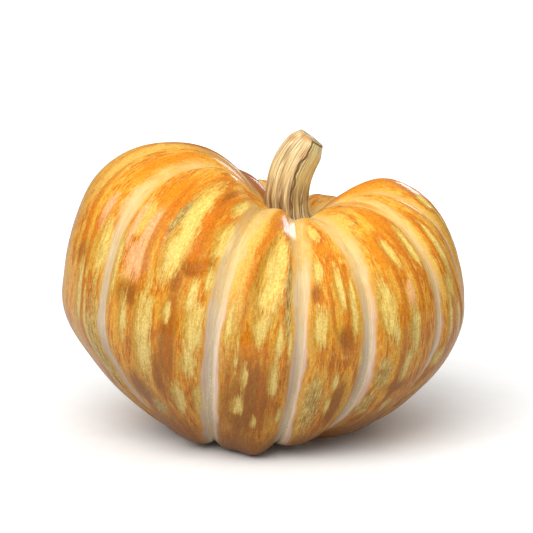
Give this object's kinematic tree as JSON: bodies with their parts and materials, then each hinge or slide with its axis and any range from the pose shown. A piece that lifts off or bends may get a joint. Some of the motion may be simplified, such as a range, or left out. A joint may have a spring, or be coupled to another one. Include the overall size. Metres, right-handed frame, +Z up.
{
  "type": "ceramic pumpkin figure",
  "caption": "Hollow glazed ceramic pumpkin with uneven ribs round a sunken crown and a curved ridged stem, a free-standing seasonal table ornament.",
  "frame": {"origin": "middle of the figure's outline seen from above, on the plane it rests on", "axes": "+Z up, -Y towards the front, +X towards the right-hand side as seen from the front"},
  "size_m": [0.2304, 0.2072, 0.1699],
  "materials": {
    "body_glaze": "hand-painted orange, ochre and yellow under a clear gloss glaze",
    "stem_glaze": "tan and brown bark-like paint under a satin glaze",
    "adhesive": "cured adhesive, satin",
    "felt": "pressed felt"
  },
  "bodies": {
    "root": {"body_shell": "body_glaze", "stem": "stem_glaze", "stem_bond_ring": "adhesive", "foot_pad_front": "felt", "foot_pad_right": "felt", "foot_pad_back": "felt", "foot_pad_left": "felt"}
  },
  "joints": []
}
